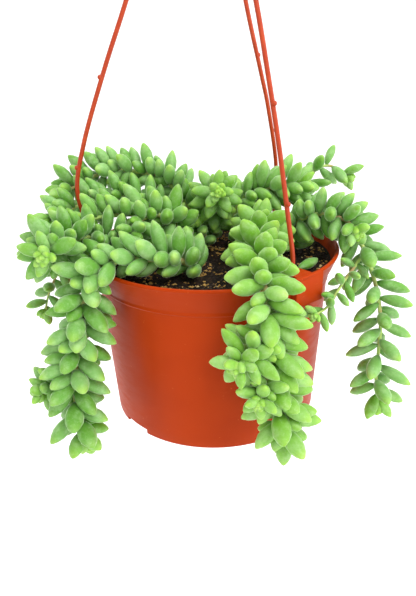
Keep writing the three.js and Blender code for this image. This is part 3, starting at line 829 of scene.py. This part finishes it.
def make_hanger(material):
    hanger = bmesh.new()
    knob_top = POT_HEIGHT - EAR_TAB_THICKNESS - KNOB_GAP
    for index, azimuth in enumerate(EAR_AZIMUTHS_DEG):
        path = catmull_rom(strand_points(index), STRAND_STEPS)
        x, y = path[0][:2]
        path = np.vstack([[x, y, knob_top - 0.5], path])
        append(hanger, tube(path, [STRAND_RADIUS] * len(path), STRAND_SIDES))
        knob_low = knob_top - KNOB_HEIGHT
        knob = spin_profile(rounded([(0, knob_low), (KNOB_RADIUS * 0.7, knob_low),
                                     (KNOB_RADIUS, knob_top), (0, knob_top)], 0.5), 24)
        append(hanger, knob, Matrix.Translation((x, y, 0)))
        for height in NUB_HEIGHTS[index]:
            nearest = min(path, key=lambda p: abs(p[2] - POT_HEIGHT - height))
            dx, dy = from_axis(azimuth, NUB_OFFSET)
            nub = bmesh.new()
            bmesh.ops.create_uvsphere(nub, u_segments=12, v_segments=8, radius=NUB_RADIUS * 0.86)
            place = (nearest[0] + dx, nearest[1] + dy, nearest[2])
            append(hanger, nub, Matrix.Translation(place))
    low = STRAND_APEX - HUB_HEIGHT
    append(hanger, spin_profile(rounded([(0, low), (HUB_RADIUS, low), (HUB_RADIUS, low + 3),
                                         (HUB_TOP, STRAND_APEX), (0, STRAND_APEX)], 0.8), 40))
    centre = STRAND_APEX + HOOK_SHANK + HOOK_BEND
    hook = [(0, 0, STRAND_APEX - 3), (0, 0, STRAND_APEX + HOOK_SHANK / 2)]
    for deg in range(-90, 151, 30):
        angle = math.radians(deg)
        hook.append((HOOK_BEND * math.cos(angle), 0, centre + HOOK_BEND * math.sin(angle)))
    path = catmull_rom(hook, HOOK_STEPS)
    append(hanger, tube(path, [HOOK_RADIUS] * len(path), STRAND_SIDES))
    add_piece("hanger_strands", hanger, [material], "hanger")


# ---------------------------------------------------------------- where leaves grow


def make_random(seed):
    """The same draws as the solids' own rule."""
    state = seed

    def draw():
        nonlocal state
        state = state * DRAW_FACTOR % DRAW_LIMIT
        return state / DRAW_LIMIT
    return draw


class Walk:
    """A route as close-set points, with the distance from the root and a frame at each."""

    def __init__(self, route):
        self.points = catmull_rom(route, ROUTE_STEPS)
        steps = np.linalg.norm(np.diff(self.points, axis=0), axis=1)
        self.along = np.concatenate([[0], np.cumsum(steps)])
        self.length = self.along[-1]
        last = len(self.points) - 1
        self.ahead, self.side = [], []
        carried = np.array([1.0, 0, 0])
        for i in range(last + 1):
            ahead = self.points[min(i + 1, last)] - self.points[max(i - 1, 0)]
            ahead /= np.linalg.norm(ahead)
            carried = carried - ahead * carried.dot(ahead)
            carried /= np.linalg.norm(carried)
            self.ahead.append(ahead)
            self.side.append(carried)

    def spot(self, distance):
        i = 1
        while i < len(self.along) - 1 and self.along[i] < distance:
            i += 1
        share = (distance - self.along[i - 1]) / (self.along[i] - self.along[i - 1])
        point = self.points[i - 1] + (self.points[i] - self.points[i - 1]) * share
        return point, self.ahead[i], self.side[i]


class Room:
    """What a new leaf has to keep clear of, as balls owned by nodes."""

    def __init__(self):
        self.count = 0
        self.centres = np.zeros((MOST_BALLS, 3))
        self.radii = np.zeros(MOST_BALLS)
        self.owners = np.zeros(MOST_BALLS, int)
        self.stems = np.zeros(MOST_BALLS, bool)

    def add(self, centres, radii, owner, stem=False):
        end = self.count + len(centres)
        self.centres[self.count:end] = centres
        self.radii[self.count:end] = radii
        self.owners[self.count:end] = owner
        self.stems[self.count:end] = stem
        self.count = end

    def fits(self, centres, radii, owner, self_overlap, node_share=1.0, gap=NODE_GAP):
        if any(room_to_pot(centre) < radius + gap or centre[2] - radius < FLOOR_CLEARANCE
               for centre, radius in zip(centres, radii)):
            return False
        n = self.count
        own = self.owners[:n] == owner
        skipped = own & self.stems[:n]
        for centre, radius in zip(centres, radii):
            total = self.radii[:n] + radius
            reach = np.where(own, total * self_overlap, total * node_share + gap)
            near = ((self.centres[:n] - centre) ** 2).sum(axis=1) < reach ** 2
            if (near & ~skipped).any():
                return False
        return True


# The potting mix and the pot's wall as lines of (radius, height), each with half its thickness.
HALF_WALL = 0.9
POT_EDGES = (
    ((0, SOIL_TOP), (inner_radius(SOIL_TOP), SOIL_TOP), 0),
    ((LIP_RADIUS - 2.4, SOIL_TOP), (LIP_RADIUS - HALF_WALL, POT_HEIGHT - HALF_WALL), HALF_WALL),
    ((LIP_RADIUS - HALF_WALL, POT_HEIGHT - HALF_WALL), (LINE_RADIUS - 0.3, LINE_HEIGHT), HALF_WALL),
    ((LINE_RADIUS - 0.3, LINE_HEIGHT), (POT_BASE_RADIUS - HALF_WALL, 0), HALF_WALL),
)


def distance_to_segment(x, y, start, end):
    dx, dy = end[0] - start[0], end[1] - start[1]
    share = min(1, max(0, ((x - start[0]) * dx + (y - start[1]) * dy) / (dx * dx + dy * dy)))
    return math.hypot(x - start[0] - share * dx, y - start[1] - share * dy)


def room_to_pot(point):
    x, y, z = point
    out = math.hypot(x, y)
    if z < SOIL_TOP and out < outer_radius(z):
        return -1
    room = min(distance_to_segment(out, z, a, b) - half for a, b, half in POT_EDGES)
    for azimuth in EAR_AZIMUTHS_DEG:
        angle = math.radians(azimuth)
        u = x * math.sin(angle) - y * math.cos(angle)
        v = x * math.cos(angle) + y * math.sin(angle)
        gap_u = max(EAR_TAB_INNER - u, 0, u - EAR_OUTER)
        gap_v = max(EAR_LEFT - v, 0, v - EAR_RIGHT)
        gap_z = max(POT_HEIGHT - EAR_WALL_HEIGHT - z, 0, z - POT_HEIGHT)
        room = min(room, math.hypot(gap_u, gap_v, gap_z))
    return room


# Tries for a leaf that doesn't fit: more turn, more lean and a share of the size.
SHIFTS = ((0, 0, 1), (14, 0, 1), (-14, 0, 1), (0, -14, 1), (0, 12, 1), (16, -16, 0.94),
          (-16, -16, 0.94), (30, 0, 0.9), (-30, 0, 0.9), (0, -28, 0.86), (26, -26, 0.8),
          (-26, -26, 0.8), (0, 20, 0.74), (0, -34, 0.66))


def place_leaf(spot, turn_deg, lean_deg, leaf, size, youth):
    point, ahead, side = spot
    turn, lean = math.radians(turn_deg), math.radians(lean_deg)
    outward = side * math.cos(turn) + np.cross(ahead, side) * math.sin(turn)
    direction = ahead * math.cos(lean) + outward * math.sin(lean)
    return dict(root=point, direction=direction, across=np.cross(ahead, outward),
                length=leaf[0] * size, width=leaf[1] * math.sqrt(size), young=youth)


def leaf_balls(leaf):
    """The balls that stand for a leaf where room is measured."""
    root, direction, length = leaf["root"], leaf["direction"], leaf["length"]
    centres = [root + direction * share * length for share, _ in LEAF_BALLS]
    return np.array(centres), np.array([plump * leaf["width"] / 2 for _, plump in LEAF_BALLS])


def grow_shoot(one, walk, owner, draw, room):
    """The leaves that the solids have too, by the same rule and draws."""
    leaves = []
    distance = one["bare"]
    count = 0
    while distance < walk.length - END_GAP:
        youth = max(0, 1 - (walk.length - distance) / one["young"])
        size = (1 - YOUNG_SHRINK * youth) * (SIZE_LEAST + SIZE_SPREAD * draw())
        turn = one["turn"] + count * GOLDEN_ANGLE + TURN_SPREAD * (draw() - 0.5)
        lean = one["lean"] * (1 - YOUNG_UPRIGHT * youth * youth) + LEAN_SPREAD * (draw() - 0.5)
        spot = walk.spot(distance)
        for turn_by, lean_by, shrink in SHIFTS:
            leaf = place_leaf(spot, turn + turn_by, lean + lean_by, one["leaf"], size * shrink,
                              youth)
            centres, radii = leaf_balls(leaf)
            if room.fits(centres, radii, owner, SELF_OVERLAP):
                leaves.append(leaf)
                room.add(centres, radii, owner)
                break
        distance += one["step"] * (1 - YOUNG_CLOSER * youth)
        count += 1
    return leaves


def inside(leaf, box):
    """Whether a leaf's end, with its width, stays near the box of its node's solid."""
    tip = leaf["root"] + leaf["direction"] * leaf["length"]
    middle = leaf["root"] + leaf["direction"] * leaf["length"] * 0.6
    half = leaf["width"] / 2
    low, high = box[0] - BOX_SLACK, box[1] + BOX_SLACK
    return bool((tip > low).all() and (tip < high).all()
                and (middle - half > low).all() and (middle + half < high).all())


def fill_shoot(one, walk, owner, rng, room, box):
    """More leaves, wherever the first ones leave room."""
    leaves = []
    distance = one["bare"] * FILL_FROM if one["step"] < CLOSE_SET else walk.length
    while distance < walk.length - FILL_END_GAP:
        youth = max(0, 1 - (walk.length - distance) / one["young"])
        spot = walk.spot(distance)
        for _ in range(FILL_TRIES):
            lean = one["lean"] * (1 - FILL_UPRIGHT * youth * youth) + rng.uniform(*FILL_LEAN)
            size = (1 - YOUNG_SHRINK * youth) * rng.uniform(*FILL_SIZE)
            leaf = place_leaf(spot, rng.uniform(0, 360), lean, one["leaf"], size, youth)
            centres, radii = leaf_balls(leaf)
            if inside(leaf, box) and room.fits(centres, radii, owner, FILL_OVERLAP,
                                               FILL_NODE_SHARE, 0):
                leaves.append(leaf)
                room.add(centres, radii, owner)
                break
        distance += FILL_STEP
    return leaves + bud_leaves(one, walk, box)


def bud_leaves(one, walk, box):
    """The tight small leaves at the tip of a shoot."""
    leaves = []
    for i in range(BUD_LEAVES):
        back = 1 - i / BUD_LEAVES
        spot = walk.spot(walk.length - BUD_END_GAP - BUD_LENGTH * back)
        turn = one["turn"] + i * GOLDEN_ANGLE
        lean = BUD_SPREAD * back + BUD_LEAN
        for opened in BUD_OPENINGS:
            leaf = place_leaf(spot, turn, lean + opened, one["leaf"],
                              BUD_SIZE + BUD_GROWTH * back, 1)
            if inside(leaf, box):
                leaves.append(leaf)
                break
    return leaves


# ---------------------------------------------------------------- leaf meshes


def leaf_template(rng):
    """A plump leaf one unit long and one wide, from its root at the origin along +Y. Its flatter
    face is towards -Z and it curls up that way."""
    bm = bmesh.new()
    bmesh.ops.create_uvsphere(bm, u_segments=LEAF_ROUND, v_segments=LEAF_LONG, radius=1)
    along = bm.verts.layers.float.new("along")
    curl = rng.uniform(*LEAF_CURL)
    point = rng.uniform(*LEAF_POINT)
    fullness = rng.uniform(*LEAF_FULLNESS)
    for vert in bm.verts:
        share = (1 - vert.co.z) / 2
        around = Vector((vert.co.x, vert.co.y))
        if around.length > 1e-6:
            around.normalize()
        half = 0.5 * max(0, math.sin(math.pi * share ** fullness)) ** LEAF_BLUNTNESS
        half *= 1 - point * (max(0, share - POINT_FROM) / POINT_LENGTH) ** 2
        thick = LEAF_BACK if around.y > 0 else LEAF_FACE
        vert[along] = share
        vert.co = Vector((around.x * half, share, around.y * half * thick - curl * share * share))
    bmesh.ops.recalc_face_normals(bm, faces=bm.faces)
    mesh = bpy.data.meshes.new("leaf_shape")
    bm.to_mesh(mesh)
    bm.free()
    return mesh


def push_back(verts):
    """Move a leaf by what it stands out of the box of the solids."""
    for axis in range(3):
        values = [vert.co[axis] for vert in verts]
        low, high = (corner[axis] / MM for corner in size_at_start)
        shift = max(0, low + BOX_GAP - min(values)) - max(0, max(values) - high + BOX_GAP)
        for vert in verts:
            vert.co[axis] += shift


def add_leaf(bm, leaf, shapes, rng, layers, fresh=0):
    before = len(bm.verts)
    bm.from_mesh(shapes[rng.integers(len(shapes))])
    bm.verts.ensure_lookup_table()
    added = bm.verts[before:]
    across, direction = Vector(leaf["across"]), Vector(leaf["direction"])
    wide = leaf["width"] * rng.uniform(*LEAF_WIDTHS)
    axes = (across * wide, direction * leaf["length"], across.cross(direction) * wide)
    matrix = Matrix.Translation(leaf["root"]) @ Matrix(axes).transposed().to_4x4()
    bmesh.ops.transform(bm, matrix=matrix, verts=added)
    push_back(added)
    tone_layer, young_layer = layers
    tone = rng.uniform(0, 1)
    for vert in added:
        vert[tone_layer] = tone
        vert[young_layer] = max(leaf["young"], fresh)


def start_leaves():
    """An empty mesh with the layers that the leaf skin reads."""
    bm = bmesh.new()
    bm.verts.layers.float.new("along")
    return bm, [bm.verts.layers.float.new(key) for key in ("tone", "young")]


def make_plant(leaf_skin, stem_skin):
    room = Room()
    names = list(STEMS)
    hanger_owner, loose_owner = len(names), len(names) + 1
    for index in range(len(STRAND_PROFILES)):
        path = catmull_rom(strand_points(index), STRAND_ROOM_STEPS)
        room.add(path, STRAND_RADIUS + STRAND_CLEARANCE, hanger_owner)
    walks = {name: [Walk(one["route"]) for one in STEMS[name]] for name in names}
    for owner, name in enumerate(names):
        for one, walk in zip(STEMS[name], walks[name]):
            room.add(walk.points, one["radius"] + STEM_CLEARANCE, owner, stem=True)
    loose = loose_leaf()
    room.add(*leaf_balls(loose), loose_owner)
    leaves = {}
    for owner, name in enumerate(names):
        draw = make_random(FIRST_SEED + SEED_STEP * owner)
        leaves[name] = []
        for one, walk in zip(STEMS[name], walks[name]):
            leaves[name] += grow_shoot(one, walk, owner, draw, room)
    rng = np.random.default_rng(FILL_SEED)
    for owner, name in enumerate(names):
        box = [np.array(corner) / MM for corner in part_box(name)]
        for one, walk in zip(STEMS[name], walks[name]):
            leaves[name] += fill_shoot(one, walk, owner, rng, room, box)
    shapes = [leaf_template(rng) for _ in range(LEAF_SHAPES)]
    for name in names:
        bm, layers = start_leaves()
        for leaf in leaves[name]:
            add_leaf(bm, leaf, shapes, rng, layers, FRESH_STEMS.get(name, 0))
        for one, walk in zip(STEMS[name], walks[name]):
            count = len(walk.points)
            radii = [one["radius"] * (1 - STEM_TAPER * i / count) for i in range(count)]
            append(bm, tube(walk.points, radii, STEM_SIDES), material_index=1)
        add_piece("leaves_of_" + name, bm, [leaf_skin, stem_skin], name, sharp_deg=70)
    bm, layers = start_leaves()
    add_leaf(bm, loose, shapes, rng, layers)
    add_piece("fallen_leaf", bm, [leaf_skin], "loose_leaf", sharp_deg=70)


def loose_leaf():
    root = np.array(LOOSE_ROOT, float)
    reach = np.array(LOOSE_TIP, float) - root
    length = np.linalg.norm(reach)
    direction = reach / length
    across = np.cross((0, 0, 1), direction)
    return dict(root=root, direction=direction, across=across / np.linalg.norm(across),
                length=length, width=LOOSE_WIDTH, young=0)


# ---------------------------------------------------------------- camera, floor and light

CAMERA_PLACE = (-3.5, -355.6, 219.24)
CAMERA_DOWN_DEG = 22.959
CAMERA_ROLL_DEG = 1.389
FOCAL_PIXELS = 600.9
IMAGE_HEIGHT = 596
SENSOR = 36
# The studio paper, in metres.
PAPER_FLOOR = -0.22
PAPER_RADIUS = 2.6
PAPER_BEND = 1.2
PAPER_TOP = 2.3
PAPER_STEPS = 96
PAPER_GLOW = 0.3
WORLD_STRENGTH = 0.5
# Each lamp's name, place, target, size and watts, in metres.
LAMPS = (
    ("key", (0.45, -0.7, 1.15), (0, 0, 0.08), 0.6, 10.5),
    ("fill", (0.95, -0.4, 0.35), (0, 0, 0.08), 0.8, 3),
    ("top", (0, 0.25, 1.3), (0, 0, 0.1), 0.8, 8),
)


def make_camera():
    data = bpy.data.cameras.new("camera")
    data.sensor_width = SENSOR
    data.lens = FOCAL_PIXELS / IMAGE_HEIGHT * SENSOR
    camera = bpy.data.objects.new("camera", data)
    bpy.context.collection.objects.link(camera)
    down = math.radians(CAMERA_DOWN_DEG)
    roll = math.radians(CAMERA_ROLL_DEG)
    right = Vector((1, 0, 0))
    up = Vector((0, math.sin(down), math.cos(down)))
    back = Vector((0, -math.cos(down), math.sin(down)))
    turned_right = right * math.cos(roll) - up * math.sin(roll)
    turned_up = right * math.sin(roll) + up * math.cos(roll)
    turn = Matrix((turned_right, turned_up, back)).transposed().to_4x4()
    camera.matrix_world = Matrix.Translation(Vector(CAMERA_PLACE) * MM) @ turn
    bpy.context.scene.camera = camera


def make_backdrop():
    """A pale round floor below the hanging pot that curves up all round it."""
    n = Nodes("studio_paper")
    n.set(Base_Color=(0.93, 0.93, 0.93, 1), Roughness=0.9, Specular_IOR_Level=0.1,
          Emission_Color=(1, 1, 1, 1), Emission_Strength=PAPER_GLOW)
    flat = PAPER_RADIUS - PAPER_BEND
    line = [(0, PAPER_FLOOR), (flat, PAPER_FLOOR)]
    for deg in range(10, 91, 10):
        angle = math.radians(deg)
        rise = PAPER_BEND * (1 - math.cos(angle))
        line.append((flat + PAPER_BEND * math.sin(angle), PAPER_FLOOR + rise))
    line.append((PAPER_RADIUS, PAPER_FLOOR + PAPER_TOP))
    bm = bmesh.new()
    corners = [bm.verts.new((out, 0, z)) for out, z in line]
    edges = [bm.edges.new(pair) for pair in zip(corners, corners[1:])]
    bmesh.ops.spin(bm, geom=corners + edges, axis=(0, 0, 1), cent=(0, 0, 0), angle=TAU,
                   steps=PAPER_STEPS, use_merge=True)
    bmesh.ops.remove_doubles(bm, verts=bm.verts, dist=1e-5)
    bmesh.ops.recalc_face_normals(bm, faces=bm.faces)
    bm.faces.ensure_lookup_table()
    if min(bm.faces, key=lambda face: face.calc_center_median().length).normal.z < 0:
        bmesh.ops.reverse_faces(bm, faces=bm.faces)
    for face in bm.faces:
        face.smooth = True
    mesh = bpy.data.meshes.new("studio_floor")
    bm.to_mesh(mesh)
    bm.free()
    mesh.materials.append(n.material)
    backdrop = bpy.data.objects.new("studio_floor", mesh)
    bpy.context.collection.objects.link(backdrop)


def area_light(name, place, target, size, watts):
    data = bpy.data.lights.new(name, "AREA")
    data.shape = "DISK"
    data.size = size
    data.energy = watts
    light = bpy.data.objects.new(name, data)
    light.location = place
    aim = Vector(target) - Vector(place)
    light.rotation_euler = aim.to_track_quat("-Z", "Y").to_euler()
    bpy.context.collection.objects.link(light)


def make_light():
    world = bpy.data.worlds.new("studio")
    world.use_nodes = True
    background = world.node_tree.nodes["Background"]
    background.inputs["Color"].default_value = (1, 1, 1, 1)
    background.inputs["Strength"].default_value = WORLD_STRENGTH
    bpy.context.scene.world = world
    for lamp in LAMPS:
        area_light(*lamp)
    bpy.context.scene.view_settings.view_transform = "Standard"


make_pot(pot_material())
make_soil(soil_material(), grit_material("soil_crumb", SOIL_BROWN, SOIL_DARK),
          grit_material("bark_and_sand", GRIT_TAN, GRIT_BROWN),
          grit_material("pale_grit", GRIT_PALE, GRIT_TAN))
make_hanger(hanger_material())
make_plant(leaf_material(), stem_material())
make_camera()
make_backdrop()
make_light()
